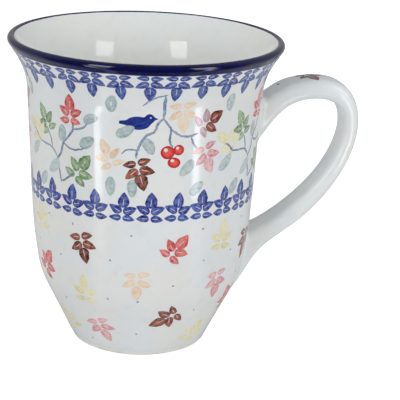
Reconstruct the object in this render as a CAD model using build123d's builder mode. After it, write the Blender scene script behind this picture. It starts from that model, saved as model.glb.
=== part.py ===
"""A hand-stamped stoneware mug: a thrown cup, a strap handle luted on with slip, and its glaze coats.

The frame has +Z up through the cup's axis, its origin at the centre of the circle that the foot
stands on, and the handle on +X. All lengths are in millimetres and angles in degrees.
"""

import os

from build123d import *

# Driving dimensions
height = 120.0
lip_centre_radius = 50.8
lip_round = 1.55
lip_lean = 35.6
foot_radius = 26.4
foot_ring_width = 4.6
foot_well_depth = 2.2
foot_edge_round = 0.9
floor_thickness = 5.8
glaze_coat = 0.35
slip_thickness = 0.4
bare_foot_height = 1.6
rim_band_outside = 4.0
rim_band_inside = 0.45

# Bends of the outer wall, from the cone above the foot up to the flare below the lip: the corner
# that each rounds off, as (radius, height), and the bend's own radius.
shoulder = ((39.8, 27.7), 35.0)
waist = ((42.45, 46.7), 170.0)
flare = ((45.25, 107.4), 30.0)

# The same bends on the inside, and the sweep from the wall into the floor.
inner_flare = ((40.9, 107.7), 32.0)
inner_waist = ((38.2, 48.0), 165.0)
inner_shoulder = ((35.3, 30.0), 38.0)
inner_sweep = ((24.4, foot_well_depth + floor_thickness), 12.0)

# The strap handle in the XZ plane, from its upper root to its lower root. Each station gives a point
# on the strap's back, which faces away from the cup, the point across from it on the belly, which
# faces the cup, and the strap's width there.
handle_stations = [
    ((37.6, 102.4), (42.4, 79.2), 19.0),
    ((48.6, 98.1), (52.3, 91.2), 14.8),
    ((57.2, 102.7), (59.6, 95.6), 13.8),
    ((67.9, 104.0), (67.5, 96.6), 13.6),
    ((77.9, 101.0), (74.0, 94.8), 13.6),
    ((83.2, 92.2), (77.7, 89.9), 13.6),
    ((83.4, 80.6), (78.0, 81.4), 13.6),
    ((79.6, 69.0), (74.4, 71.6), 13.6),
    ((73.1, 58.4), (68.2, 62.4), 13.6),
    ((64.5, 48.9), (59.9, 54.0), 13.7),
    ((55.3, 41.8), (51.4, 47.4), 13.9),
    ((47.2, 35.4), (42.6, 42.4), 14.8),
    ((34.3, 18.2), (29.8, 39.2), 18.0),
]
strap_edge_round = 2.6
strap_edge_share = 0.4
strap_crown = 0.45
between_roots = 60.0

# Lengths that only have to reach past the object
past_axis = 3.0
reach = 150.0


def lip_corner(side):
    """Corner that the lip's round is cut from, on the outer side (+1) or the inner side (-1)."""
    along = Vector(0, lip_round).rotate(Axis.Z, -lip_lean)
    across = Vector(side * lip_round, 0).rotate(Axis.Z, -lip_lean)
    corner = Vector(lip_centre_radius, height - lip_round) + along + across
    return (corner.X, corner.Y)


def outline(corners):
    """Closed line through corners given as (point, bend radius)."""
    points = [point for point, bend in corners]
    bends = [bend for point, bend in corners]
    return FilletPolyline(points, radius=bends, close=True)


def strap(grow):
    """Solid of the strap handle between its buried ends, with its skin moved out by grow."""
    with BuildPart() as blank:
        for back, belly, width in handle_stations:
            across = Vector(back[0] - belly[0], 0, back[1] - belly[1])
            middle = Vector(back[0] + belly[0], 0, back[1] + belly[1]) / 2
            half = across.length / 2 + grow
            side = width / 2 + grow
            flat = half - strap_crown
            edge = min(strap_edge_round, strap_edge_share * across.length) + grow
            place = Plane(origin=middle, x_dir=across, z_dir=across.cross(Vector(0, 1, 0)))
            with BuildSketch(place) as section:
                with BuildLine():
                    ThreePointArc((flat, -side), (half, 0), (flat, side))
                    Line((flat, side), (-flat, side))
                    ThreePointArc((-flat, side), (-half, 0), (-flat, -side))
                    Line((-flat, -side), (flat, -side))
                make_face()
                fillet(section.vertices(), radius=edge)
        loft()
    return blank.part


def filled_cup(grow):
    """The cup's outer form without its hollow, with its glazed wall moved out by grow."""
    with BuildPart() as form:
        with BuildSketch(Plane.XZ) as half_form:
            with BuildLine():
                outline(
                    [
                        ((-past_axis, 0.0), 0.0),
                        ((foot_radius, 0.0), 0.0),
                        shoulder,
                        waist,
                        flare,
                        (lip_corner(1), 0.0),
                        ((-past_axis, height), 0.0),
                    ]
                )
            make_face()
            offset(amount=grow)
            Rectangle(reach, 2 * reach, align=(Align.MIN, Align.CENTER), mode=Mode.INTERSECT)
        revolve(axis=Axis.Z)
    return form.part


# Sections of the cup, each in the half of the XZ plane beyond the axis
ring_inner_radius = foot_radius - foot_ring_width
with BuildSketch(Plane.XZ) as glazed_section:
    with BuildLine():
        outline(
            [
                ((-past_axis, foot_well_depth), 0.0),
                ((ring_inner_radius - 1.0, foot_well_depth), foot_edge_round),
                ((ring_inner_radius, 0.0), foot_edge_round),
                ((foot_radius, 0.0), foot_edge_round),
                shoulder,
                waist,
                flare,
                (lip_corner(1), lip_round - 0.01),
                (lip_corner(-1), lip_round - 0.01),
                inner_flare,
                inner_waist,
                inner_shoulder,
                inner_sweep,
                ((-past_axis, inner_sweep[0][1]), 0.0),
            ]
        )
    make_face()

with BuildSketch(Plane.XZ) as bare_foot:
    add(glazed_section.sketch_local)
    Rectangle(reach, bare_foot_height, align=(Align.MIN, Align.MIN), mode=Mode.INTERSECT)

with BuildSketch(Plane.XZ) as clay_section:
    offset(glazed_section.sketch_local, amount=-glaze_coat)
    add(bare_foot.sketch_local)
    Rectangle(reach, reach, align=(Align.MIN, Align.MIN), mode=Mode.INTERSECT)

# The cobalt band covers the lip, and comes further down outside than inside
lip_middle = lip_centre_radius - 0.75 * lip_round
with BuildSketch(Plane.XZ) as band_zone:
    with BuildLine():
        Polyline(
            (lip_middle, height - rim_band_inside),
            (0, height - rim_band_inside),
            (0, reach),
            (reach, reach),
            (reach, height - rim_band_outside),
            (lip_middle, height - rim_band_outside),
            close=True,
        )
    make_face()

with BuildSketch(Plane.XZ) as band_section:
    add(glazed_section.sketch_local)
    add(clay_section.sketch_local, mode=Mode.SUBTRACT)
    add(band_zone.sketch_local, mode=Mode.INTERSECT)

with BuildSketch(Plane.XZ) as coat_section:
    add(glazed_section.sketch_local)
    add(clay_section.sketch_local, mode=Mode.SUBTRACT)
    add(band_zone.sketch_local, mode=Mode.SUBTRACT)
    Rectangle(reach, reach, align=(Align.MIN, Align.MIN), mode=Mode.INTERSECT)
well_coat, liner_coat, wall_coat = coat_section.sketch.faces().sort_by(Axis.X)

# Forms that the handle and its coat are trimmed by
strap_clay = strap(0)
strap_glazed = strap(glaze_coat)
clay_form = filled_cup(-glaze_coat)
glazed_form = filled_cup(0)
slip_form = filled_cup(-glaze_coat + slip_thickness)

with BuildPart() as cup_body:
    revolve(clay_section.sketch, axis=Axis.Z)
cup_body.part.label = "cup_body"

with BuildPart() as handle:
    add(strap_clay)
    add(slip_form, mode=Mode.SUBTRACT)
handle.part.label = "handle"

with BuildPart() as slip_joints:
    add(strap_clay)
    add(slip_form, mode=Mode.INTERSECT)
    add(clay_form, mode=Mode.SUBTRACT)

with BuildPart() as upper_handle_slip:
    add(slip_joints.part)
    split(bisect_by=Plane.XY.offset(between_roots), keep=Keep.TOP)
upper_handle_slip.part.label = "upper_handle_slip"

with BuildPart() as lower_handle_slip:
    add(slip_joints.part)
    split(bisect_by=Plane.XY.offset(between_roots), keep=Keep.BOTTOM)
lower_handle_slip.part.label = "lower_handle_slip"

with BuildPart() as handle_glaze:
    add(strap_glazed)
    add(strap_clay, mode=Mode.SUBTRACT)
    add(glazed_form, mode=Mode.SUBTRACT)
handle_glaze.part.label = "handle_glaze"

with BuildPart() as wall_glaze:
    revolve(wall_coat, axis=Axis.Z)
    add(strap_clay, mode=Mode.SUBTRACT)
wall_glaze.part.label = "wall_glaze"

with BuildPart() as liner_glaze:
    revolve(liner_coat, axis=Axis.Z)
liner_glaze.part.label = "liner_glaze"

with BuildPart() as foot_well_glaze:
    revolve(well_coat, axis=Axis.Z)
foot_well_glaze.part.label = "foot_well_glaze"

with BuildPart() as rim_band:
    revolve(band_section.sketch, axis=Axis.Z)
rim_band.part.label = "rim_band"

os.makedirs("parts", exist_ok=True)
nodes = (
    cup_body,
    handle,
    upper_handle_slip,
    lower_handle_slip,
    wall_glaze,
    liner_glaze,
    rim_band,
    foot_well_glaze,
    handle_glaze,
)
for node in nodes:
    export_step(node.part, f"parts/{node.part.label}.step")
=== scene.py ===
"""The looks of a hand-stamped stoneware mug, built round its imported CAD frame.

Lengths are in metres. Places on the cup are given as an angle from its front, in degrees and positive
to the right of someone who faces it, and a height above the foot.
"""

import functools
import math
import random

import bpy
import numpy as np
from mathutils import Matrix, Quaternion, Vector
from mathutils.bvhtree import BVHTree


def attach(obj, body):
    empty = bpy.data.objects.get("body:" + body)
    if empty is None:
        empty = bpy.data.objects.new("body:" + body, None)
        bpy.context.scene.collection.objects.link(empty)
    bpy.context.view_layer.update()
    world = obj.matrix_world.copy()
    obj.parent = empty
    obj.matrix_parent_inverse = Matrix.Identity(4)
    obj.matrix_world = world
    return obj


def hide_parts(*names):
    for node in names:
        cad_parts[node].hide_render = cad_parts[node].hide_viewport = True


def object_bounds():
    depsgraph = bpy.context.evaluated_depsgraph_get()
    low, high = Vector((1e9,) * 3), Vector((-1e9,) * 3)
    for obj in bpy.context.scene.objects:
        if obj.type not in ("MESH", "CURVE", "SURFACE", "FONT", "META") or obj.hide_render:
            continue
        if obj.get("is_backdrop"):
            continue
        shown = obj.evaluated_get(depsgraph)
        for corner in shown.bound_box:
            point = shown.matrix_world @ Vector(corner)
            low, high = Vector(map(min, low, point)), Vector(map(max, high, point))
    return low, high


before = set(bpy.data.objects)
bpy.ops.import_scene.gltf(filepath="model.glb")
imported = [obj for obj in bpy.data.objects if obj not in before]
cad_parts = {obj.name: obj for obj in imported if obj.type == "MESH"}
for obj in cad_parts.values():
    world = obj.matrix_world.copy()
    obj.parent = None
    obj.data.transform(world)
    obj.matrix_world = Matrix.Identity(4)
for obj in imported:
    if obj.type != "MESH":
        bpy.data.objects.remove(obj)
cad_low, cad_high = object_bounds()

# The cup's glazed section, as in the CAD model: corners as (radius, height), each with its bend
height = 0.120
lip_centre_radius = 0.0508
lip_round = 0.00155
lip_lean = 35.6
foot_radius = 0.0264
floor_height = 0.008
outer_bends = [((0.0398, 0.0277), 0.035), ((0.04245, 0.0467), 0.170), ((0.04525, 0.1074), 0.030)]
inner_bends = [
    ((0.0409, 0.1077), 0.032),
    ((0.0382, 0.0480), 0.165),
    ((0.0353, 0.0300), 0.038),
    ((0.0244, floor_height), 0.012),
]

# The strap handle's stations from its upper root to its lower root, as in the CAD model: back, belly and
# width. They began as a least-squares fit to the photographed handle's edges and were then adjusted.
handle_stations = [
    ((0.0376, 0.1024), (0.0424, 0.0792), 0.0190),
    ((0.0486, 0.0981), (0.0523, 0.0912), 0.0148),
    ((0.0572, 0.1027), (0.0596, 0.0956), 0.0138),
    ((0.0679, 0.1040), (0.0675, 0.0966), 0.0136),
    ((0.0779, 0.1010), (0.0740, 0.0948), 0.0136),
    ((0.0832, 0.0922), (0.0777, 0.0899), 0.0136),
    ((0.0834, 0.0806), (0.0780, 0.0814), 0.0136),
    ((0.0796, 0.0690), (0.0744, 0.0716), 0.0136),
    ((0.0731, 0.0584), (0.0682, 0.0624), 0.0136),
    ((0.0645, 0.0489), (0.0599, 0.0540), 0.0137),
    ((0.0553, 0.0418), (0.0514, 0.0474), 0.0139),
    ((0.0472, 0.0354), (0.0426, 0.0424), 0.0148),
    ((0.0343, 0.0182), (0.0298, 0.0392), 0.0180),
]
strap_edge_round = 0.0026
strap_edge_share = 0.4
strap_crown = 0.00045
fit_reach = 0.0015
fit_smooth = 5
glaze_coat = 0.00035

# How the handle's long lines run out onto the wall: past it, in a fillet, and to just under it
root_overrun = 0.006
root_fillet = 0.0018
root_sink = 0.00008
handle_steps = 150

# How far from the axis the liner's last ring stops
axis_gap = 0.0003

# Heights: where the wall's glaze starts, the rim band's two edges, and the start of the band's wear
glaze_line = 0.0016
outer_band_edge = 0.1160
inner_band_edge = 0.1196
crest_from = 0.1160

# Painted plates: how far they stand above the skin and go under it, and the step from one to the next
paint_lift = 0.000025
paint_depth = 0.00012
paint_layer, paint_layers = 0.000004, 7

# Where the photograph's viewer stands: the cup's front, with the handle just behind the right side
front_angle = -98.0

# The camera, from a least-squares fit to the photographed mug's outline
camera_place, camera_aim = Vector((-0.0715, -0.50877, 0.22342)), Vector((0.02233, -0.00415, 0.05554))
camera_lens, camera_lean = 123.85, 2.47

# ------------ The cup's skin and the handle's skin, as functions that place a point on them


def lip_corner(side):
    """Corner that the lip's round is cut from, on the outer side (+1) or the inner side (-1)."""
    lean = math.radians(lip_lean)
    radius = lip_centre_radius + lip_round * (math.sin(lean) + side * math.cos(lean))
    return (radius, height - lip_round + lip_round * (math.cos(lean) - side * math.sin(lean)))


def rounded_path(start, bends, end, step=0.0002):
    """Points along straight runs joined by tangent arcs, no further apart than about step."""
    corners = [Vector(start)] + [Vector(corner) for corner, bend in bends] + [Vector(end)]
    points = [corners[0]]
    for before, corner, after, (place, bend) in zip(corners, corners[1:], corners[2:], bends):
        arrive = (corner - before).normalized()
        leave = (after - corner).normalized()
        turn = arrive.angle_signed(leave)
        reach = bend * math.tan(abs(turn) / 2)
        count = max(2, math.ceil(bend * abs(turn) / step))
        first = corner - arrive * reach
        points += straight(points[-1], first, step)
        side = Vector((-arrive.y, arrive.x)) * (-1 if turn > 0 else 1)
        for k in range(1, count + 1):
            swept = abs(turn) * k / count
            points.append(first + arrive * bend * math.sin(swept) + side * bend * (1 - math.cos(swept)))
    points += straight(points[-1], corners[-1], step)
    return np.array([tuple(point) for point in points])


def straight(start, end, step):
    """Points from start, left out, to end, kept."""
    count = max(1, math.ceil((end - start).length / step))
    return [start.lerp(end, k / count) for k in range(1, count + 1)]


class CupSkin:
    """The glazed surface from the foot up the wall, over the lip and down to the floor's middle."""

    def __init__(self):
        lips = [(lip_corner(side), lip_round - 0.00001) for side in (1, -1)]
        bends = outer_bends + lips + inner_bends
        self.points = rounded_path((foot_radius, 0.0), bends, (0.0, floor_height))
        runs = np.linalg.norm(np.diff(self.points, axis=0), axis=1)
        self.lengths = np.concatenate([[0.0], np.cumsum(runs)])
        self.total = self.lengths[-1]
        self.top = int(np.argmax(self.points[:, 1]))

    def outside(self, at_height):
        """Length along the skin where the outer wall has that height."""
        return np.interp(at_height, self.points[: self.top + 1, 1], self.lengths[: self.top + 1])

    def inside(self, at_height):
        """Length along the skin where the inner wall has that height."""
        down = slice(None, self.top - 1, -1)
        return np.interp(at_height, self.points[down, 1], self.lengths[down])

    def at(self, length, lift=0.0):
        """Radius and height at that length, with lift outwards from the surface."""
        here = [np.interp(length, self.lengths, self.points[:, k]) for k in (0, 1)]
        pace = 0.0006
        ahead, back = min(length + pace, self.total), max(length - pace, 0.0)
        along = [np.interp(ahead, self.lengths, self.points[:, k]) for k in (0, 1)]
        along = [a - np.interp(back, self.lengths, self.points[:, k]) for k, a in enumerate(along)]
        size = math.hypot(*along)
        return here[0] + lift * along[1] / size, here[1] - lift * along[0] / size

    def point(self, angle, length, lift=0.0):
        """Point on the skin at an angle in radians about the cup's axis, counted from +X."""
        radius, z = self.at(length, lift)
        return Vector((radius * math.cos(angle), radius * math.sin(angle), z))


cup_skin = CupSkin()


def smooth_rows(rows, count):
    """A natural cubic spline through rows of numbers, read at count places."""
    rows = np.array(rows, float)
    runs = np.sqrt(np.linalg.norm(np.diff(rows, axis=0), axis=1))
    knots = np.concatenate([[0.0], np.cumsum(runs)])
    size = len(knots)
    gaps = np.diff(knots)
    matrix = np.zeros((size, size))
    right = np.zeros(rows.shape)
    matrix[0, 0] = matrix[-1, -1] = 1.0
    for k in range(1, size - 1):
        matrix[k, k - 1 : k + 2] = gaps[k - 1], 2 * (gaps[k - 1] + gaps[k]), gaps[k]
        right[k] = 6 * ((rows[k + 1] - rows[k]) / gaps[k] - (rows[k] - rows[k - 1]) / gaps[k - 1])
    bends = np.linalg.solve(matrix, right)
    places = np.linspace(0, knots[-1], count)
    result = []
    for place in places:
        k = min(int(np.searchsorted(knots, place, side="right")) - 1, size - 2)
        gap, ahead, behind = gaps[k], knots[k + 1] - place, place - knots[k]
        value = (bends[k] * ahead**3 + bends[k + 1] * behind**3) / (6 * gap)
        value += (rows[k] / gap - bends[k] * gap / 6) * ahead
        value += (rows[k + 1] / gap - bends[k + 1] * gap / 6) * behind
        result.append(value)
    return np.array(result)


handle_count = 400
handle_rows = smooth_rows([[*back, *belly, width] for back, belly, width in handle_stations], handle_count)


def fit_to_frame(rows):
    """Moves the rows' backs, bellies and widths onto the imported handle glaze, and smooths the change."""
    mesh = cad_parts["handle_glaze"].data
    corners = [vertex.co.copy() for vertex in mesh.vertices]
    tree = BVHTree.FromPolygons(corners, [polygon.vertices[:] for polygon in mesh.polygons])
    changes = []
    for row in rows:
        back, belly = Vector((row[0], 0, row[1])), Vector((row[2], 0, row[3]))
        middle, across = (back + belly) / 2, (back - belly).normalized()
        halves = [(back - belly).length / 2] * 2 + [row[4] / 2] * 2
        change = []
        for way, half in zip((across, -across, Vector((0, 1, 0)), Vector((0, -1, 0))), halves):
            start = middle + way * (half + fit_reach)
            hit = tree.ray_cast(start, -way, 2 * fit_reach)[0]
            change.append(((hit - middle).length - half - glaze_coat) if hit else None)
        changes.append(change)
    for k in range(4):
        known = [(i, change[k]) for i, change in enumerate(changes) if change[k] is not None]
        column = np.interp(range(len(rows)), *zip(*known))
        padded = np.pad(column, fit_smooth, mode="edge")
        column = np.convolve(padded, np.ones(2 * fit_smooth + 1) / (2 * fit_smooth + 1), mode="valid")
        for i, row in enumerate(rows):
            across = np.array([row[0] - row[2], row[1] - row[3]])
            across /= np.linalg.norm(across)
            if k == 0:
                changes[i][0] = across * column[i]
            elif k == 1:
                changes[i][1] = -across * column[i]
            else:
                changes[i][k] = column[i]
    for row, (back, belly, left, right) in zip(rows, changes):
        row[0:2] += back
        row[2:4] += belly
        row[4] += left + right


fit_to_frame(handle_rows)


def strap_section(row):
    """The strap's glazed section at a row of the handle, as its place, its direction and its sizes."""
    back, belly = Vector((row[0], 0, row[1])), Vector((row[2], 0, row[3]))
    half = (back - belly).length / 2 + glaze_coat
    side = row[4] / 2 + glaze_coat
    edge = min(strap_edge_round, strap_edge_share * (back - belly).length) + glaze_coat
    crown = (side * side + strap_crown * strap_crown) / (2 * strap_crown)
    reach = math.sqrt((crown - edge) ** 2 - (side - edge) ** 2)
    return (back + belly) / 2, (back - belly).normalized(), half, side, edge, crown, reach


def strap_ring(row, arc_steps=7, back_steps=12, side_steps=5):
    """Points round the strap's section at a row of the handle: crowned faces and round edges."""
    middle, across, half, side, edge, crown, reach = strap_section(row)
    turned = math.atan2(side - edge, reach)
    corner = half - crown + reach
    crowned = [turned * (2 * k / back_steps - 1) for k in range(back_steps)]
    rounded = [(math.pi / 2 - turned) * k / arc_steps for k in range(arc_steps)]
    outline = [(half - crown + crown * math.cos(a), crown * math.sin(a)) for a in crowned]
    for way, angles in ((1, [turned + a for a in rounded]), (-1, [math.pi / 2 - a for a in rounded])):
        outline += [(way * (corner + edge * math.cos(a)), side - edge + edge * math.sin(a)) for a in angles]
        if way > 0:
            outline += [(corner * (1 - 2 * k / side_steps), side) for k in range(side_steps)]
    aside = Vector((0, 1, 0))
    return [middle + (across * deep + aside * wide) * sign for sign in (1, -1) for deep, wide in outline]


# ------------ Mesh making


def make_object(name, points, faces, material, layers=None):
    """A smooth object. layers are UV layers as {name: (u, v) for each point}."""
    mesh = bpy.data.meshes.new(name)
    mesh.from_pydata([tuple(point) for point in points], [], faces)
    for layer, values in (layers or {}).items():
        uv = mesh.uv_layers.new(name=layer)
        for loop in mesh.loops:
            uv.data[loop.index].uv = values[loop.vertex_index]
    mesh.polygons.foreach_set("use_smooth", [True] * len(mesh.polygons))
    mesh.materials.append(material)
    mesh.update()
    piece = bpy.data.objects.new(name, mesh)
    bpy.context.scene.collection.objects.link(piece)
    return piece


def keep_edges_crisp(piece, degrees=40):
    """Marks the edges that turn by more than degrees as sharp."""
    piece.data.set_sharp_from_angle(angle=math.radians(degrees))


def lathe(name, start, end, rings, material, thickness=0.0003, segments=288):
    """Closed shell on the cup's skin between two lengths along it, which may be functions of the angle."""
    points = []
    faces = []
    band = []
    start_at = start if callable(start) else lambda angle: start
    end_at = end if callable(end) else lambda angle: end
    layers = [(k / rings, 0.0) for k in range(rings + 1)]
    layers += [(k / rings, -thickness) for k in range(rings, -1, -1)]
    ends_at_axis = not callable(end) and end >= cup_skin.total
    for share, offset in layers:
        for k in range(segments):
            angle = 2 * math.pi * k / segments
            length = start_at(angle) + (end_at(angle) - start_at(angle)) * share
            points.append(cup_skin.point(angle, min(length, cup_skin.total - axis_gap), offset))
            band.append((share, (points[-1].z - crest_from) / (height - crest_from)))
    count = len(layers)
    for row in range(count):
        if ends_at_axis and row == rings:
            continue
        following = (row + 1) % count
        for k in range(segments):
            k_next = (k + 1) % segments
            corners = (row * segments + k, row * segments + k_next)
            faces.append((*corners, following * segments + k_next, following * segments + k))
    if ends_at_axis:
        faces.append([rings * segments + k for k in range(segments)])
        faces.append([(rings + 1) * segments + k for k in reversed(range(segments))])
    return make_object(name, points, faces, material, {"band": band})


def wall_clearance(point):
    """How far a point stands out from the outer wall."""
    top = cup_skin.top
    wall = np.interp(point.z, cup_skin.points[: top + 1, 1], cup_skin.points[: top + 1, 0])
    return math.hypot(point.x, point.y) - wall


def walk(points, distance):
    """Point at that distance along a line of points."""
    for here, following in zip(points, points[1:]):
        run = (following - here).length
        if distance <= run:
            return here.lerp(following, distance / run)
        distance -= run
    return points[-1].copy()


def root_bend(crossing, middle, on_strap, steps=8):
    """Points of the fillet that a strap's long line makes with the wall, from the wall to on_strap."""
    angle = math.atan2(crossing.y, crossing.x)
    length = cup_skin.outside(crossing.z)
    outward = (cup_skin.point(angle, length, 0.001) - cup_skin.point(angle, length)).normalized()
    aside = crossing - middle
    aside = (aside - outward * aside.dot(outward)).normalized()
    on_wall = crossing + aside * root_fillet
    sunk = cup_skin.point(math.atan2(on_wall.y, on_wall.x), cup_skin.outside(on_wall.z), -root_sink)
    shares = [k / steps for k in range(steps + 1)]
    return [sunk * (1 - a) ** 2 + crossing * 2 * a * (1 - a) + on_strap * a * a for a in shares]


def handle_lines():
    """The strap's long lines, from where each leaves the wall to where it meets it again."""
    rings = [strap_ring(row) for row in handle_rows]
    middles = [sum(ring, Vector()) / len(ring) for ring in rings]
    half_way = handle_count // 2
    lines = []
    for j in range(len(rings[0])):
        line = [ring[j] for ring in rings]
        line[0] += (line[0] - line[1]).normalized() * root_overrun
        line[-1] += (line[-1] - line[-2]).normalized() * root_overrun
        clear = [wall_clearance(point) for point in line]
        first = max(k for k in range(half_way) if clear[k] < 0)
        last = min(k for k in range(half_way, handle_count) if clear[k] < 0)
        start = line[first].lerp(line[first + 1], clear[first] / (clear[first] - clear[first + 1]))
        end = line[last].lerp(line[last - 1], clear[last] / (clear[last] - clear[last - 1]))
        run = [start, *line[first + 1 : last], end]
        total = sum((b - a).length for a, b in zip(run, run[1:]))
        upper = root_bend(start, middles[first], walk(run, root_fillet))
        lower = root_bend(end, middles[last], walk(run, total - root_fillet))
        body = []
        for k in range(1, handle_steps):
            body.append(walk(run, root_fillet + (total - 2 * root_fillet) * k / handle_steps))
        lines.append(upper + body + lower[::-1])
    return lines


def handle_skin(material):
    """The handle's glaze: a closed strap whose ends turn out onto the wall and stop just under it."""
    lines = handle_lines()
    around, along = len(lines), len(lines[0])
    points = [line[k] for k in range(along) for line in lines]
    faces = []
    for k in range(along - 1):
        here, ahead = k * around, (k + 1) * around
        for j in range(around):
            j_next = (j + 1) % around
            faces.append((here + j, ahead + j, ahead + j_next, here + j_next))
    faces.append(list(range(around)))
    faces.append([(along - 1) * around + j for j in reversed(range(around))])
    return make_object("handle_skin", points, faces, material)


# ------------ Materials


def linear(*colour):
    """A linear colour from 0-255 display values."""
    values = [c / 255 for c in colour]
    return tuple([c / 12.92 if c <= 0.04045 else ((c + 0.055) / 1.055) ** 2.4 for c in values] + [1.0])


chance = random.Random(7)

# Colours
wall_cool = linear(227, 232, 234)
wall_warm = linear(231, 232, 229)
wall_deep = linear(206, 212, 212)
iron_speck = linear(120, 112, 104)
# Painted light: the liner's glaze is the wall's white made lighter, to stand in for light inside the cup
liner_painted_light = (1.14, 1.14, 1.12, 1.0)
# Painted light: the handle's glaze is the wall's white made a little lighter and cooler, to stand in for
# light on it
handle_painted_light = (1.02, 1.03, 1.035, 1.0)
well_tint = linear(248, 248, 244)
clay_pale, clay_deep = linear(236, 235, 230), linear(222, 219, 212)
slip_pale, slip_deep = linear(196, 186, 170), linear(168, 156, 140)
band_thick, band_thin = linear(5, 7, 60), linear(10, 15, 98)
band_edge_blue, band_worn = linear(70, 80, 160), linear(84, 60, 62)
bird_light, bird_dark, bird_wing = linear(42, 62, 142), linear(22, 34, 106), linear(74, 94, 170)
# The bird's eye and a berry's glint: their middles, and where they start and are full
bird_eye, bird_eye_edges = (0.0038, 0.0020), (0.00032, 0.00020)
berry_glint, berry_glint_edges = (-0.32, 0.34), (0.36, 0.20)
berry_light, berry_dark = linear(232, 96, 88), linear(186, 42, 46)
floor_light, floor_shade = linear(250, 250, 250), linear(247, 247, 248)

stamp_options = {"vein": 0.85, "edge_ink": 0.6}
brown_inks = (linear(156, 62, 28), linear(56, 10, 4))
handle_inks = (linear(124, 40, 20), linear(34, 6, 4))
soft_options = {"vein": 0.6, "edge_ink": 0.5, "soft": 0.4, "cover": 0.88}
paint_kinds = [
    ("upper_border", linear(62, 90, 168), linear(24, 40, 122), {"vein": 0.75, "edge_ink": 0.6}),
    ("lower_border", linear(54, 82, 174), linear(16, 30, 118), {"vein": 0.8, "edge_ink": 0.6}),
    ("branches", linear(146, 166, 192), linear(72, 94, 134), {"edge_ink": 0.8}),
    ("brown", *brown_inks, stamp_options),
    ("red", linear(228, 120, 114), linear(186, 46, 52), {"vein": 0.8, "edge_ink": 0.45}),
    ("pink", linear(234, 188, 190), linear(204, 120, 132), {"vein": 0.7, "edge_ink": 0.45, "soft": 0.15}),
    ("mauve", linear(208, 180, 190), linear(158, 106, 128), {"vein": 0.7, "edge_ink": 0.45, "soft": 0.15}),
    ("peach", linear(241, 217, 184), linear(214, 168, 120), soft_options),
    ("yellow", linear(240, 233, 182), linear(214, 198, 112), soft_options),
    ("green", linear(156, 184, 140), linear(78, 116, 70), {"vein": 0.75, "edge_ink": 0.5}),
    ("sage", linear(196, 208, 208), linear(138, 162, 168), {"edge_ink": 0.45, "soft": 0.2}),
    ("dots", linear(150, 166, 166), linear(112, 132, 134), {"edge_ink": 0.5, "soft": 0.25}),
]

# Light that the world gives, and how bright it is in reflections in front of the cup and behind it
world_light = 0.42
room_dark, room_bright = 0.10, 0.40
room_edges = (-0.5, 0.3)

# The floor to the camera, and in reflections behind the cup and ahead of it, with pale wedges ahead
floor_glow = 0.6
floor_behind, floor_ahead = linear(250, 250, 250), linear(60, 60, 60)
floor_edges, wedge_edges = (-0.05, 0.12), (0.16, 0.05)

# The wall's two streaks, in degrees from the cup's front, and the cards that make them
streak_angles = (-37, 52)
card_distance, card_size, card_height, card_radiance = 0.20, (0.050, 0.20), 0.060, 5.2
card_tint, card_fades = (0.92, 0.95, 1.0), (0.3, 0.45)

# Softboxes: azimuth from the cup's front, elevation, distance, width, height, power, seen in reflections
softbox_height = 0.06
softboxes = {
    "softbox_left": (-37, 20, 1.3, 0.40, 0.84, 4.4, True),
    "softbox_right": (48, 16, 1.3, 0.44, 0.84, 4.5, True),
    "softbox_top": (10, 74, 1.5, 0.8, 0.5, 2.0, False),
    "softbox_side": (160, 12, 1.3, 0.7, 0.9, 1.5, False),
    "softbox_back": (-130, 20, 1.4, 0.7, 0.9, 1.6, False),
}

# The borders: paint, count, first angle, height in mm, turn, sizes and how far the heights drift
borders = [
    ("upper_border", 30, -46.5, 112.7, 180, (0.91, 0.96), 0.0003),
    ("lower_border", 27, -49.6, 64.0, 0, (0.93, 0.98), 0),
]
root_heights, root_half_turn = ((90.5, 21), (32, 22)), 18.5
stamp_gap, dot_gap = 0.0115, 0.0056
band_middle, band_scale = 0.088, 0.0436
leafy_turns = (0, 107, 236)
bird_turns = (0, 120, 249)

# Scenes of the middle band, in degrees from the cup's front and millimetres above the foot
leafy_scene = {
    "sprigs": [
        ("red", -36.5, 98, 0), ("green", -53, 92.5, 30), ("green", -32, 77, -30), ("yellow", -62, 88, 60),
    ],
    "leaves": [
        ((-29, 96), (-21.5, 98.5)), ((-42, 87), (-41.5, 93.5)), ((-31, 86.5), (-23.5, 90.5)),
        ((-44, 79.5), (-51.8, 74)), ((-59.5, 67.5), (-54, 73.3)), ((-68, 78), (-60.5, 83.5)),
    ],
    "branches": [
        ([(-43, 71.5), (-43.8, 75), (-44.8, 80), (-43, 82), (-41.8, 84.5), (-41, 86.5), (-37.5, 89.5),
          (-35, 92.5), (-35.5, 96.5)], 0.0010),
        ([(-35, 92.5), (-30, 93.5), (-26.8, 95.5)], 0.0009),
        ([(-41, 86.5), (-35.5, 84.8), (-28.8, 86)], 0.0008),
        ([(-44.8, 80), (-48.5, 83.2), (-53, 84), (-60, 84.8), (-62, 86.5), (-65.5, 88)], 0.0008),
        ([(-48.5, 83.2), (-49.8, 87), (-52.5, 90.5)], 0.0007),
        ([(-43, 71.5), (-39.5, 73), (-37, 74.5), (-34.5, 76)], 0.0009),
    ],
}
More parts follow.
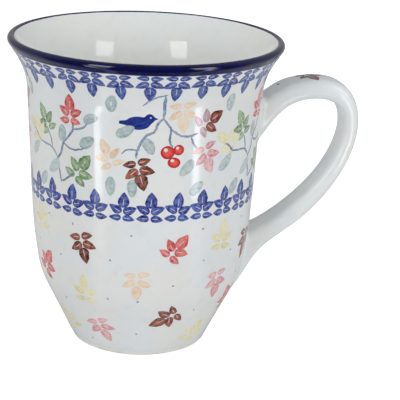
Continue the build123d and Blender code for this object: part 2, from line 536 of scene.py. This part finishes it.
bird_scene = {
    "sprigs": [
        ("peach", 17.5, 101.5, 180),
        (("brown", "mauve", "brown", "mauve", "mauve"), 30, 97, -60),
        ("pink", 31, 85, 200), ("brown", -2, 80, 190), ("peach", -16, 84, 20),
    ],
    "leaves": [
        ((-15.5, 101), (-14, 107.5)), ((-12.8, 92.5), (-4.5, 96)), ((0, 92), (4.5, 86)),
        ((-15.3, 77), (-15.3, 69.5)), ((-4.8, 76.5), (-4.8, 69.5)), ((43, 107), (43, 100)),
        ((24, 83.5), (17.5, 77.8)), ((23.5, 70), (29.7, 74.8)),
    ],
    "branches": [
        ([(10, 108.5), (3.5, 106.8), (-0.8, 104)], 0.0007),
        ([(9, 108.3), (8.9, 104), (8.7, 99.5)], 0.0012),
        ([(8.7, 99.5), (6, 97), (4.5, 94.3), (1, 93), (-2, 89), (-3, 87), (-3.2, 84.5)], 0.0010),
        ([(-2.8, 87.5), (-7.5, 87.5), (-10.2, 85.8)], 0.0008),
        ([(8.7, 99.5), (11, 97), (12.2, 95.5), (12, 91), (13.5, 88.8)], 0.0009),
        ([(12.2, 95.5), (17, 93), (21, 92.5), (25.5, 93.5)], 0.0009),
        ([(22.3, 92.2), (24, 89), (27.3, 86.8)], 0.0008),
    ],
    "birds": [(-2.3, 97.6)],
    "berries": [
        (11.2, 86.8, 0.0026, 0.0025), (16.4, 87.6, 0.0020, 0.0020), (14.4, 82.9, 0.0024, 0.0020),
    ],
}
# A plain songbird: its ovals as middle and half sizes, its tail and beak as ends, height and half widths
bird_ovals = [(-0.0004, 0.0, 0.0042, 0.0023), (0.0034, 0.0016, 0.0017, 0.0017)]
bird_size = 1.06
bird_wedges = [(-0.0068, -0.0036, 0.0, 0.0005, 0.0010), (0.0046, 0.0064, 0.0016, 0.0008, 0.0)]
scattered_stamps = [
    ("brown", -30.5, 49, 190), ("red", 17, 48.5, -40), ("yellow", 45, 50, 0), ("yellow", -61, 53, 10),
    ("red", -60.5, 34.5, -35), ("yellow", -31, 28.5, 0), ("peach", -1.5, 36, 180),
    ("pink", 45.5, 33, 185), ("brown", 18.5, 19.5, 125), ("pink", -26, 13, 195),
    ("yellow", -55, 11, 30), ("yellow", 42, 8.5, -30), ("brown", 70, 45, 170), ("red", 66, 21, 30),
]
scattered_dots = [
    (-53.5, 56.8), (-36, 56), (-4.7, 54.7), (-15.3, 44.2), (-45.5, 42), (-66, 44), (-17.3, 27.8),
    (-0.8, 27.5), (-47.5, 23), (-1.3, 11.2), (-37, 5.6), (32, 56), (34.2, 43), (17.7, 34),
    (34.5, 21.2), (61.5, 56), (66.5, 32),
]
handle_sprig_row, handle_dot_row = 88, 52


class Nodes:
    """A node tree, with short calls for its nodes."""

    def __init__(self, tree):
        self.tree = tree

    def node(self, kind, inputs=None, **settings):
        """A new node with its settings and inputs, which are sockets or plain values."""
        node = self.tree.nodes.new(kind)
        for name, value in settings.items():
            setattr(node, name, value)
        for name, value in (inputs or {}).items():
            self.plug(node.inputs[name], value)
        return node

    def plug(self, socket, value):
        """Links a socket to an output, or sets its plain value."""
        if isinstance(value, bpy.types.NodeSocket):
            self.tree.links.new(value, socket)
        else:
            socket.default_value = value

    def math(self, operation, *values, clamp=False):
        """A Math node's result."""
        inputs = dict(enumerate(values))
        return self.node("ShaderNodeMath", inputs, operation=operation, use_clamp=clamp).outputs[0]

    def times(self, *factors):
        """The product of two or more values."""
        return functools.reduce(lambda a, b: self.math("MULTIPLY", a, b), factors)

    def plus(self, first, second, clamp=False):
        """The sum of two values, kept from 0 to 1 on request."""
        return self.math("ADD", first, second, clamp=clamp)

    def minus(self, first, second):
        """The second value taken from the first."""
        return self.math("SUBTRACT", first, second)

    def scaled(self, value, factor, offset):
        """A value times a factor, plus an offset."""
        return self.math("MULTIPLY_ADD", value, factor, offset)

    def distance(self, across, up, centre):
        """How far a place in the plane is from a centre."""
        squares = [self.math("POWER", self.minus(a, b), 2.0) for a, b in zip((across, up), centre)]
        return self.math("SQRT", self.plus(*squares))

    def step(self, value, low, high, at_low=0.0, at_high=1.0):
        """at_low up to low and at_high beyond high, smooth between. low may be above high."""
        inputs = {"Value": value, "From Min": low, "From Max": high, "To Min": at_low, "To Max": at_high}
        return self.node("ShaderNodeMapRange", inputs, interpolation_type="SMOOTHSTEP").outputs[0]

    def channel(self, value, index):
        """One part of a vector or colour."""
        return self.node("ShaderNodeSeparateXYZ", {"Vector": value}).outputs[index]

    def along(self, place, direction):
        """How far a place lies in a direction."""
        inputs = {0: place, 1: direction}
        return self.node("ShaderNodeVectorMath", inputs, operation="DOT_PRODUCT").outputs["Value"]

    def mix(self, share, first, second, blend="MIX"):
        """Colour between first and second."""
        inputs = {0: share, 6: first, 7: second}
        return self.node("ShaderNodeMix", inputs, data_type="RGBA", blend_type=blend).outputs[2]

    def between(self, share, first, second):
        """Number between first and second."""
        return self.node("ShaderNodeMix", {0: share, 2: first, 3: second}).outputs[0]


class Material(Nodes):
    """One Principled shader and the textures that drive it."""

    def __init__(self, name):
        self.data = bpy.data.materials.new(name)
        self.data.use_nodes = True
        super().__init__(self.data.node_tree)
        self.shader = self.tree.nodes["Principled BSDF"]
        self.place = self.node("ShaderNodeTexCoord").outputs["Object"]

    def noise(self, size, detail=2.0, roughness=0.5, stretch=(1, 1, 1), shift=0.0):
        """Noise from 0 to 1 with features of about size metres."""
        mapping = {"Vector": self.place, "Location": (shift, shift, shift), "Scale": stretch}
        place = self.node("ShaderNodeMapping", mapping).outputs[0]
        inputs = {"Vector": place, "Scale": 1 / size, "Detail": detail, "Roughness": roughness}
        return self.node("ShaderNodeTexNoise", inputs).outputs["Fac"]

    def specks(self, size, share):
        """1 inside scattered specks of about size metres, in that share of the cells."""
        inputs = {"Vector": self.place, "Scale": 1 / (size * 4), "Randomness": 1.0}
        cells = self.node("ShaderNodeTexVoronoi", inputs)
        near = self.step(cells.outputs["Distance"], 0.16, 0.05)
        chosen = self.math("LESS_THAN", self.channel(cells.outputs["Color"], 0), share)
        return self.times(near, chosen)

    def layer(self, name):
        """Both parts of a UV layer."""
        uv = self.node("ShaderNodeUVMap", uv_map=name).outputs[0]
        return self.channel(uv, 0), self.channel(uv, 1)

    def finish(self, colour, roughness, height=None, depth=0.0001, strength=1.0):
        """Drives the shader: colour, roughness and a height that stands depth metres at 1."""
        self.plug(self.shader.inputs["Base Color"], colour)
        self.plug(self.shader.inputs["Roughness"], roughness)
        if height is not None:
            bump = self.node("ShaderNodeBump", {"Height": height, "Distance": depth, "Strength": strength})
            self.plug(self.shader.inputs["Normal"], bump.outputs[0])
        return self.data


def glaze(material, colour, base_roughness=0.055):
    """Clear glaze over a colour: a soft wave from the dip, fine ripple, and faintly uneven gloss."""
    wave = material.noise(0.014, detail=1.0, stretch=(1, 1, 0.55))
    ripple = material.noise(0.0016, detail=2.0, shift=3.0)
    height = material.plus(wave, material.times(ripple, 0.035))
    uneven = material.noise(0.009, detail=3.0, shift=7.0)
    roughness = material.scaled(uneven, 0.05, base_roughness - 0.02)
    material.shader.inputs["IOR"].default_value = 1.52
    return material.finish(colour, roughness, height, depth=0.00006)


def body_white(material):
    """The tin-white of the glazed wall: cool, with a faint drift and rare tiny iron specks."""
    drift = material.noise(0.022, detail=3.0)
    colour = material.mix(material.step(drift, 0.3, 0.7), wall_cool, wall_warm)
    cloud = material.noise(0.004, detail=4.0, shift=11.0)
    colour = material.mix(material.times(material.step(cloud, 0.5, 0.8), 0.25), colour, wall_deep)
    specks = material.times(material.specks(0.00016, 0.02), 0.55)
    return material.mix(specks, colour, iron_speck)


def white_glaze(name, glaze_tint_and_painted_light=None):
    """White-body glaze, tinted as a whole: the foot well's own tint, and painted light on the liner and
    handle.
    """
    material = Material(name)
    colour = body_white(material)
    # A tint above 1 is painted light: it lightens the white
    if glaze_tint_and_painted_light:
        colour = material.mix(1.0, colour, glaze_tint_and_painted_light, blend="MULTIPLY")
    return glaze(material, colour)


def rim_cobalt():
    """The cobalt band: near-black where thick, bluer where thin, and brown where the lip wears it off."""
    material = Material("rim_cobalt")
    along, height_share = material.layer("band")
    mottle = material.noise(0.0035, detail=4.0, roughness=0.6)
    thin = material.step(mottle, 0.45, 0.8)
    colour = material.mix(thin, band_thick, band_thin)
    rough_edge = material.scaled(material.noise(0.0011, detail=3.0), 0.07, -0.035)
    reach = material.plus(along, rough_edge)
    lower = material.step(reach, 0.07, 0.0)
    upper = material.step(reach, 0.965, 1.0)
    edge = material.times(material.math("MAXIMUM", lower, upper), 0.75)
    colour = material.mix(edge, colour, band_edge_blue)
    crest = material.times(material.step(height_share, 0.975, 1.0), material.step(mottle, 0.25, 0.6), 0.85)
    colour = material.mix(crest, colour, band_worn)
    return glaze(material, colour, base_roughness=0.07)


def bare_clay(name, pale, deep):
    """Unglazed fired clay: matt, with fine grit, darker grains and small pits."""
    material = Material(name)
    drift = material.noise(0.006, detail=4.0)
    colour = material.mix(material.step(drift, 0.3, 0.75), pale, deep)
    grains = material.specks(0.00022, 0.15)
    colour = material.mix(material.times(grains, 0.45), colour, iron_speck)
    grit = material.noise(0.00045, detail=3.0, roughness=0.7)
    height = material.minus(grit, material.times(grains, 0.6))
    roughness = material.scaled(grit, 0.2, 0.68)
    return material.finish(colour, roughness, height, depth=0.00008)


def under_glaze(name, light, dark, soft=0.0, vein=0.0, edge_ink=0.5, cover=1.0):
    """Colour stamped under the glaze.

    light and dark are the wash and where it pools. soft is how much of the leaf's edge fades into the
    white, vein how white its middle line is left, edge_ink how dark its outline pools, and cover how dense
    the colour is at most.
    """
    material = Material(name)
    share, off_middle = material.layer("leaf")
    edge, tone = material.layer("tone")
    white = body_white(material)
    wash = material.noise(0.0014, detail=4.0, roughness=0.65)
    pool = material.times(material.step(edge, 0.35, 1.0), edge_ink)
    pool = material.scaled(material.step(wash, 0.38, 0.66), 0.6, pool)
    pool = material.plus(pool, material.scaled(tone, 0.6, -0.3), clamp=True)
    colour = material.mix(pool, light, dark)
    density = material.scaled(material.step(wash, 0.7, 0.3), -0.15, cover)
    if soft:
        ragged = material.plus(edge, material.scaled(wash, 0.5, -0.25))
        density = material.times(density, material.step(ragged, 1.0, 1.0 - soft))
    if vein:
        bow = material.scaled(tone, 0.00012, -0.00006)
        away = material.math("ABSOLUTE", material.plus(off_middle, bow))
        line = material.step(away, 0.00017, 0.00007)
        ends = (material.step(share, 0.1, 0.2), material.step(share, 0.62, 0.48))
        line = material.times(line, material.times(*ends), vein)
        density = material.times(density, material.minus(1.0, line))
    colour = material.mix(material.math("MAXIMUM", density, 0.0), white, colour)
    return glaze(material, colour)


def bird_blue():
    """Cobalt with a lighter line along the wing and a white eye left open."""
    material = Material("bird_cobalt")
    across, up = material.layer("leaf")
    wash = material.noise(0.0018, detail=4.0, roughness=0.6)
    colour = material.mix(material.step(wash, 0.35, 0.75), bird_light, bird_dark)
    wing = material.minus(material.scaled(across, 0.3, -0.0002), up)
    crease = material.step(material.math("ABSOLUTE", wing), 0.00032, 0.00012)
    ends = (material.step(across, -0.004, -0.002), material.step(across, 0.003, 0.001))
    colour = material.mix(material.times(crease, material.times(*ends), 0.35), colour, bird_wing)
    eye = material.step(material.distance(across, up, bird_eye), *bird_eye_edges)
    return glaze(material, material.mix(eye, colour, body_white(material)))


def berry_red():
    """Red berries: a deep outline, a mottled wash, and a glint left white."""
    material = Material("berry_red")
    across, up = material.layer("leaf")
    edge = material.layer("tone")[0]
    wash = material.noise(0.0011, detail=3.0, roughness=0.6)
    shade = material.plus(material.step(edge, 0.3, 1.0), material.scaled(wash, 0.6, -0.3), clamp=True)
    colour = material.mix(shade, berry_light, berry_dark)
    glint = material.step(material.distance(across, up, berry_glint), *berry_glint_edges)
    return glaze(material, material.mix(material.times(glint, 0.92), colour, body_white(material)))


# ------------ Painted motifs: thin closed plates that lie on the cup's skin or the handle's back


def on_cup(angle, length, turn=0.0, size=1.0, scale=None):
    """A flat drawing board laid on the cup's wall: (x, y, lift) in metres to a point in space."""
    turn_cos, turn_sin = math.cos(turn) * size, math.sin(turn) * size

    def place(x, y, lift):
        aside = x * turn_cos - y * turn_sin
        at = length + x * turn_sin + y * turn_cos
        return cup_skin.point(angle + aside / (scale or cup_skin.at(at)[0]), at, lift)

    return place


def on_handle(index, turn=0.0, size=1.0, aside=0.0):
    """A drawing board laid on the handle's back at a row of its sections."""
    turn_cos, turn_sin = math.cos(turn) * size, math.sin(turn) * size

    def section(at):
        k = min(max(int(at), 0), handle_count - 2)
        return handle_rows[k] + (handle_rows[k + 1] - handle_rows[k]) * (at - k)

    pace = math.dist(handle_rows[index][:2], handle_rows[index + 1][:2])

    def place(x, y, lift):
        row = section(index + (x * turn_cos - y * turn_sin) / pace)
        off = aside + x * turn_sin + y * turn_cos
        middle, across, half, side, edge, crown, reach = strap_section(row)
        turned = math.atan2(side - edge, reach)
        swept = abs(off) / crown
        if swept <= turned:
            deep, wide = half - crown + (crown + lift) * math.cos(swept), (crown + lift) * math.sin(swept)
        else:
            swept = turned + (abs(off) - turned * crown) / edge
            deep = half - crown + reach + (edge + lift) * math.cos(swept)
            wide = side - edge + (edge + lift) * math.sin(swept)
        return middle + across * deep + Vector((0, 1, 0)) * math.copysign(wide, off)

    return place


class Paint:
    """All the plates of one colour, which become one piece."""

    def __init__(self, name, material):
        self.name, self.material = name, material
        self.points, self.faces, self.leaf, self.tone = [], [], [], []
        self.count = 0

    def plate(self, place, rows, tone):
        """A closed plate. Each of its rows holds points as (x, y, leaf UV, edge)."""
        self.count += 1
        lift = paint_lift + paint_layer * (self.count % paint_layers)
        top = []
        for row in rows:
            top.append([])
            for x, y, leaf, edge in row:
                top[-1].append(self.add(place(x, y, lift), leaf, (edge, tone)))
        for low, high in zip(top, top[1:]):
            if len(low) == 1:
                self.faces += [(low[0], b, a) for a, b in zip(high, high[1:])]
            elif len(high) == 1:
                self.faces += [(a, b, high[0]) for a, b in zip(low, low[1:])]
            else:
                self.faces += [(a, b, d, c) for a, b, c, d in zip(low, low[1:], high, high[1:])]
        rim = [(0, k) for k in range(len(rows[0]))]
        rim += [(k, -1) for k in range(1, len(rows) - 1)]
        rim += [(-1, k) for k in reversed(range(len(rows[-1])))]
        rim += [(k, 0) for k in range(len(rows) - 2, 0, -1)]
        loop = [top[row][k] for row, k in rim]
        under = []
        for row, k in rim:
            x, y, leaf, edge = rows[row][k]
            under.append(self.add(place(x, y, -paint_depth), leaf, (edge, tone)))
        for k in range(len(loop)):
            following = (k + 1) % len(loop)
            self.faces.append((loop[k], under[k], under[following], loop[following]))
        self.faces.append(under[::-1])

    def add(self, point, leaf, tone):
        """Adds a point and returns its number."""
        self.points.append(point)
        self.leaf.append(leaf)
        self.tone.append(tone)
        return len(self.points) - 1

    def build(self, slot):
        """The finished piece."""
        piece = make_object(
            self.name, self.points, self.faces, self.material, {"leaf": self.leaf, "tone": self.tone}
        )
        keep_edges_crisp(piece)
        settle(piece)
        return piece


def settle(piece):
    """Every piece rides on the one body."""
    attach(piece, "root")


leaf_shares = (0.0, 0.03, 0.09, 0.18, 0.29, 0.42, 0.55, 0.68, 0.8, 0.9, 0.97, 1.0)
leaf_columns = (-1.0, -0.55, 0.0, 0.55, 1.0)


def leaf(paint, place, base, tip, width, full=0.5, point=0.9):
    """A leaf from base to tip in the drawing's metres, with a hand-cut outline."""
    along = Vector(tip) - Vector(base)
    length = along.length
    along.normalize()
    right = Vector((along.y, -along.x))
    bow = chance.uniform(-0.05, 0.05) * length
    peak = full / (full + point)
    tallest = peak**full * (1 - peak) ** point
    rows = []
    for share in leaf_shares:
        middle = Vector(base) + along * length * share + right * bow * 4 * share * (1 - share)
        half = width / 2 * share**full * (1 - share) ** point / tallest
        if half < 1e-7:
            rows.append([(*middle, (share, 0.0), 1.0)])
            continue
        row = []
        ends = max(1 - share / 0.09, (share - 0.82) / 0.18, 0.0)
        sides = [chance.uniform(0.93, 1.07) for k in (0, 1)]
        for column in leaf_columns:
            off = column * half * sides[column > 0]
            row.append((*(middle + right * off), (share, off), max(abs(column), ends)))
        rows.append(row)
    paint.plate(place, rows, chance.random())


def stroke(paint, place, line, width, step=0.0006):
    """A brush line through points, in the drawing's metres, that swells and thins a little."""
    path = smooth_rows(line, max(6, round(sum(math.dist(a, b) for a, b in zip(line, line[1:])) / step)))
    tone = chance.random()
    rows = []
    swell = 1.0
    for k, spot in enumerate(path):
        ahead = Vector(path[min(k + 1, len(path) - 1)]) - Vector(path[max(k - 1, 0)])
        right = Vector((ahead.y, -ahead.x)).normalized()
        swell += 0.35 * (chance.uniform(0.75, 1.3) - swell)
        taper = min(1.0, 0.45 + min(k, len(path) - 1 - k) * 0.22)
        half = width * 0.4 * swell * taper
        middle = Vector(spot) + right * chance.uniform(-0.13, 0.13) * width
        share = k / len(path)
        rows.append([(*(middle + right * off * half), (share, off * half), abs(off)) for off in (-1, 0, 1)])
    paint.plate(place, rows, tone)


def patch(paint, place, low, high, columns=8, count=30):
    """A shape between two edges, each given as points from left to right that share their ends."""
    left, right = low[0][0], low[-1][0]
    rows = []
    for k in range(count + 1):
        x = left + (right - left) * (1 - math.cos(math.pi * k / count)) / 2
        bottom, top = (np.interp(x, *zip(*line)) for line in (low, high))
        if k in (0, count) and top - bottom < 1e-5:
            middle = (bottom + top) / 2
            rows.append([(x, middle, (x, middle), 1.0)])
            continue
        row = []
        for j in range(columns + 1):
            y = top + (bottom - top) * j / columns
            row.append((x, y, (x, y), max(abs(2 * j / columns - 1), abs(2 * k / count - 1) ** 3)))
        rows.append(row)
    paint.plate(place, rows, chance.random())


def disc(paint, place, wide, tall, centre=(0.0, 0.0), count=10, columns=4):
    """An oval whose leaf UV runs from -1 to 1 across it."""
    rows = []
    for k in range(count + 1):
        swept = math.pi * k / count
        x, half = -math.cos(swept), math.sin(swept)
        if k in (0, count):
            rows.append([(centre[0] + x * wide, centre[1], (x, 0.0), 1.0)])
            continue
        row = []
        for j in range(columns + 1):
            y = half * (1 - 2 * j / columns)
            row.append((centre[0] + x * wide, centre[1] + y * tall, (x, y), math.hypot(x, y)))
        rows.append(row)
    paint.plate(place, rows, chance.random())


# The one stamp: a plain symmetrical sprig of five leaflets as (base, tip, width), in metres
stamp_leaflets = [
    ((0.0, 0.0015), (0.0, 0.0080), 0.0045),
    ((-0.0003, -0.0003), (-0.0054, 0.0021), 0.0034),
    ((0.0003, -0.0003), (0.0054, 0.0021), 0.0034),
    ((-0.0003, -0.0026), (-0.0051, -0.0030), 0.0028),
    ((0.0003, -0.0026), (0.0051, -0.0030), 0.0028),
]


def stamp(paints, place):
    """The stamp's five leaflets, each in its own paint."""
    for paint, (base, tip, width) in zip(paints, stamp_leaflets):
        leaf(paint, place, base, tip, width * chance.uniform(0.96, 1.06))


def spot(phi, z):
    """Angle and length along the skin of a place on the outer wall, z in millimetres."""
    return math.radians(front_angle + phi), cup_skin.outside(z / 1000)


def clear_of_handle(phi, z):
    """True where nothing painted would run under the handle's roots, z in millimetres."""
    turned = abs((front_angle + phi + 180) % 360 - 180)
    beside_root = any(abs(z - middle) <= reach for middle, reach in root_heights)
    return turned > (root_half_turn if beside_root else 0)


# ------------ The camera, at the photograph's viewing angle


def make_camera():
    """A long lens from slightly above, turned a little so that the cup leans as it does in the picture."""
    data = bpy.data.cameras.new("camera")
    data.lens, data.sensor_width = camera_lens, 36
    data.clip_start = 0.01
    camera = bpy.data.objects.new("camera", data)
    bpy.context.scene.collection.objects.link(camera)
    camera.location = camera_place
    camera.rotation_mode = "QUATERNION"
    lean = Quaternion((0, 0, 1), math.radians(camera_lean))
    camera.rotation_quaternion = (camera_aim - camera_place).to_track_quat("-Z", "Y") @ lean
    bpy.context.scene.camera = camera


make_camera()

# ------------ The glazed skins, which stand for the CAD's plain coats


def band_edge(angle):
    """Length along the skin of the band's lower edge, which a turning brush leaves slightly uneven."""
    wave = 0.00010 * math.sin(3 * angle + 0.7) + 0.00006 * math.sin(7 * angle + 2.1)
    return cup_skin.outside(outer_band_edge) + wave + 0.00003 * math.sin(19 * angle)


def inner_edge(angle):
    """Length along the skin of the band's edge inside the cup."""
    wave = 0.00008 * math.sin(2 * angle + 1.9) + 0.00006 * math.sin(5 * angle)
    return cup_skin.inside(inner_band_edge) + wave + 0.00003 * math.sin(16 * angle + 1.0)


wall = lathe("wall_skin", cup_skin.outside(glaze_line), band_edge, 130, white_glaze("wall_glaze_white"))
# The liner's glaze is made lighter than the wall's: painted light
liner = lathe("liner_skin", inner_edge, cup_skin.total, 130, white_glaze("liner_glaze_painted_lighter", liner_painted_light))
rim = lathe("rim_skin", band_edge, inner_edge, 36, rim_cobalt())
# The handle's glaze is made a little lighter and cooler than the wall's: painted light
handle = handle_skin(white_glaze("handle_glaze_painted_lighter", handle_painted_light))
for piece, node, slot in (
    (wall, "wall_glaze", "white_glaze"),
    (liner, "liner_glaze", "white_glaze"),
    (rim, "rim_band", "cobalt_glaze"),
    (handle, "handle_glaze", "white_glaze"),
):
    keep_edges_crisp(piece)
    settle(piece)
    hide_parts(node)

clay = bare_clay("bare_stoneware", clay_pale, clay_deep)
slip = bare_clay("joining_slip", slip_pale, slip_deep)
well = white_glaze("foot_well_white", well_tint)
for node, material in (
    ("cup_body", clay),
    ("handle", clay),
    ("upper_handle_slip", slip),
    ("lower_handle_slip", slip),
    ("foot_well_glaze", well),
):
    for material_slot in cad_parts[node].material_slots:
        material_slot.material = material

# ------------ The decoration

paints = {}
for name, light, dark, options in paint_kinds:
    paints[name] = Paint(name, under_glaze(name + "_stain", light, dark, **options))
paints["birds"] = Paint("birds", bird_blue())
paints["berries"] = Paint("berries", berry_red())
handle_stain = under_glaze("handle_sprig_stain", *handle_inks, **stamp_options)
paints["handle_sprig"] = Paint("handle_sprig", handle_stain)

# Leaf borders: one hangs from the rim band, the other stands above the lower wall
for name, count, start, z, turned, sizes, drift in borders:
    for k in range(count):
        angle, length = spot(start + 360 / count * k + chance.uniform(-0.5, 0.5), z)
        length += chance.uniform(-drift, drift) if drift else 0
        turn = math.radians(turned) + math.radians(chance.uniform(-5, 5))
        stamp([paints[name]] * 5, on_cup(angle, length, turn, chance.uniform(*sizes)))


def place_stamp(kinds, phi, z, turn):
    """A stamp on the wall in one paint or five, unless the handle's root is there."""
    if clear_of_handle(phi, z):
        kinds = kinds if isinstance(kinds, tuple) else (kinds,) * 5
        turn = math.radians(turn + chance.uniform(-6, 6))
        stamp([paints[kind] for kind in kinds], on_cup(*spot(phi, z), turn, chance.uniform(0.95, 1.05)))


def wall_line(points, phi_shift):
    """Places on the middle band as a drawing for on_cup with the band's own scale."""
    start = cup_skin.outside(band_middle)
    result = []
    for phi, z in points:
        aside = math.radians(phi + phi_shift) * band_scale
        result.append((aside, cup_skin.outside(z / 1000) - start))
    return result


def bird_edges(count=80):
    """The lower and upper edges of the plain bird, as points from its tail to its beak."""
    low, high = [], []
    for x in np.linspace(bird_wedges[0][0], bird_wedges[-1][1], count):
        spans = []
        for middle, level, half_long, half_tall in bird_ovals:
            if abs(x - middle) < half_long:
                spans.append((level, half_tall * math.sqrt(1 - ((x - middle) / half_long) ** 2)))
        for start, end, level, half_start, half_end in bird_wedges:
            if start <= x <= end:
                spans.append((level, half_start + (half_end - half_start) * (x - start) / (end - start)))
        low.append((x, min(level - half for level, half in spans)))
        high.append((x, max(level + half for level, half in spans)))
    return low, high


def draw_scene(scene, turned):
    """A scene of the middle band, turned about the cup by so many degrees."""
    board = on_cup(math.radians(front_angle), cup_skin.outside(band_middle), scale=band_scale)
    for points, width in scene["branches"]:
        if all(clear_of_handle(phi + turned, z) for phi, z in points):
            stroke(paints["branches"], board, wall_line(points, turned), width)
    for base, tip in scene["leaves"]:
        if clear_of_handle(tip[0] + turned, tip[1]):
            ends = wall_line([base, tip], turned)
            leaf(paints["sage"], board, *ends, chance.uniform(0.0040, 0.0046), full=0.5, point=0.62)
    for kinds, phi, z, turn in scene["sprigs"]:
        place_stamp(kinds, phi + turned, z, turn)
    for phi, z in scene.get("birds", ()):
        place = on_cup(*spot(phi + turned, z), math.radians(chance.uniform(-3, 3)), bird_size)
        patch(paints["birds"], place, *bird_edges())
    for phi, z, wide, tall in scene.get("berries", ()):
        if clear_of_handle(phi + turned, z):
            disc(paints["berries"], on_cup(*spot(phi + turned, z), chance.uniform(-0.2, 0.2)), wide, tall)


for scene, turns in ((leafy_scene, leafy_turns), (bird_scene, bird_turns)):
    for turned in turns:
        draw_scene(scene, turned)

taken = []


def is_free(phi, z, gap):
    """True where nothing of the lower wall's scatter stands within the gap."""
    angle, length = spot(phi, z)
    radius = cup_skin.at(length)[0]
    spots = [(math.remainder(angle - a, 2 * math.pi) * radius, length - b) for a, b in taken]
    return all(math.hypot(*apart) > gap for apart in spots)


# The lower wall's scattered stamps and dots, laid three times round where there is room
for turned in (0, 120, 240):
    for kinds, phi, z, turn in scattered_stamps:
        if is_free(phi + turned, z, stamp_gap):
            taken.append(spot(phi + turned, z))
            place_stamp(kinds, phi + turned, z, turn)
for turned in (0, 120, 240):
    for phi, z in scattered_dots:
        if is_free(phi + turned, z, dot_gap) and clear_of_handle(phi + turned, z):
            taken.append(spot(phi + turned, z))
            size = chance.uniform(0.42, 0.58) / 1000
            place = on_cup(*spot(phi + turned, z), chance.uniform(0, 3))
            disc(paints["dots"], place, size * 1.1, size * 0.85)

# A stamp on the handle's back where it crests
stamp([paints["handle_sprig"]] * 5, on_handle(handle_sprig_row, math.radians(200), 0.9, 0.0014))
disc(paints["handle_sprig"], on_handle(handle_dot_row), 0.00055, 0.0005, (0, 0.0005))

for paint in paints.values():
    paint.build("white_glaze")

# ------------ The plain pale floor and soft studio light


forward = (math.cos(math.radians(front_angle)), math.sin(math.radians(front_angle)), 0.0)


def make_floor():
    """A wide pale tabletop, which reflections see dark ahead of the cup but for two pale wedges."""
    size, steps = 3.0, 12
    places = [size * (2 * k / steps - 1) for k in range(steps + 1)]
    points = [(x, y, 0.0) for y in places for x in places]
    corners = [row * (steps + 1) + k for row in range(steps) for k in range(steps)]
    faces = [(k, k + 1, k + steps + 2, k + steps + 1) for k in corners]
    material = Material("pale_floor")
    drift = material.noise(0.4, detail=2.0)
    rays = material.node("ShaderNodeLightPath")
    colour = material.mix(drift, floor_light, floor_shade)
    ahead = material.step(material.along(material.place, forward), *floor_edges)
    in_gloss = material.mix(ahead, floor_behind, floor_ahead)
    angle = material.math("ARCTAN2", *(material.channel(material.place, k) for k in (1, 0)))
    for turned in streak_angles:
        aside = material.math("ABSOLUTE", material.minus(angle, math.radians(front_angle + turned)))
        in_gloss = material.mix(material.step(aside, *wedge_edges), in_gloss, floor_behind)
    colour = material.mix(rays.outputs["Is Glossy Ray"], colour, in_gloss)
    material.finish(colour, material.scaled(drift, 0.1, 0.75))
    material.shader.inputs["Emission Color"].default_value = (1.0, 1.0, 1.0, 1.0)
    glow = material.times(rays.outputs["Is Camera Ray"], floor_glow)
    material.plug(material.shader.inputs["Emission Strength"], glow)
    make_object("floor", points, faces, material.data)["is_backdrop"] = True


def area_light(name, turned, elevation, distance, wide, tall, power, aim_height):
    """A soft area light that looks at the cup, turned by degrees from its front."""
    data = bpy.data.lights.new(name, "AREA")
    data.shape = "RECTANGLE"
    data.size, data.size_y, data.energy = wide, tall, power
    light = bpy.data.objects.new(name, data)
    bpy.context.scene.collection.objects.link(light)
    around, up = math.radians(front_angle + turned), math.radians(elevation)
    away = Vector((math.cos(around) * math.cos(up), math.sin(around) * math.cos(up), math.sin(up)))
    light.location = Vector((0, 0, aim_height)) + away * distance
    light.rotation_mode = "QUATERNION"
    light.rotation_quaternion = (-away).to_track_quat("-Z", "Y")
    light.visible_camera = False
    return light


def gloss_card(name, turned):
    """A narrow bright card with soft edges that shows only in reflections."""
    power = card_radiance * math.pi * card_size[0] * card_size[1]
    card = area_light(name, turned, 0, card_distance, *card_size, power, card_height)
    card.visible_diffuse = False
    card.data.color = card_tint
    card.data.use_nodes = True
    nodes = Nodes(card.data.node_tree)
    place = nodes.node("ShaderNodeNewGeometry").outputs["Parametric"]
    first, second = nodes.channel(place, 0), nodes.channel(place, 1)
    shares = []
    for share, fade in zip((second, nodes.plus(first, second)), card_fades):
        shares.append(nodes.step(nodes.math("ABSOLUTE", nodes.minus(share, 0.5)), 0.5, 0.5 - fade))
    nodes.plug(nodes.tree.nodes["Emission"].inputs["Strength"], nodes.times(*shares))


def make_world():
    """White where the backdrop shows, softer as light, and in reflections bright only behind the cup."""
    world = bpy.data.worlds.new("studio")
    world.use_nodes = True
    nodes = Nodes(world.node_tree)
    rays = nodes.node("ShaderNodeLightPath")
    direction = nodes.node("ShaderNodeTexCoord").outputs["Generated"]
    behind = nodes.along(direction, [-part for part in forward])
    room = nodes.step(behind, *room_edges, room_dark, room_bright)
    strength = nodes.between(rays.outputs["Is Glossy Ray"], world_light, room)
    strength = nodes.between(rays.outputs["Is Camera Ray"], strength, 1.0)
    background = nodes.tree.nodes["Background"]
    nodes.plug(background.inputs["Strength"], strength)
    background.inputs["Color"].default_value = (1.0, 1.0, 1.0, 1.0)
    bpy.context.scene.world = world


make_floor()
for name, (*place, seen) in softboxes.items():
    area_light(name, *place, softbox_height).visible_glossy = seen
for side, turned in zip(("left", "right"), streak_angles):
    gloss_card("card_" + side, turned)
make_world()
bpy.context.scene.view_settings.view_transform = "Standard"

made_low, made_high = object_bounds()
sizes = {"cad": [list(cad_low), list(cad_high)], "visual": [list(made_low), list(made_high)]}
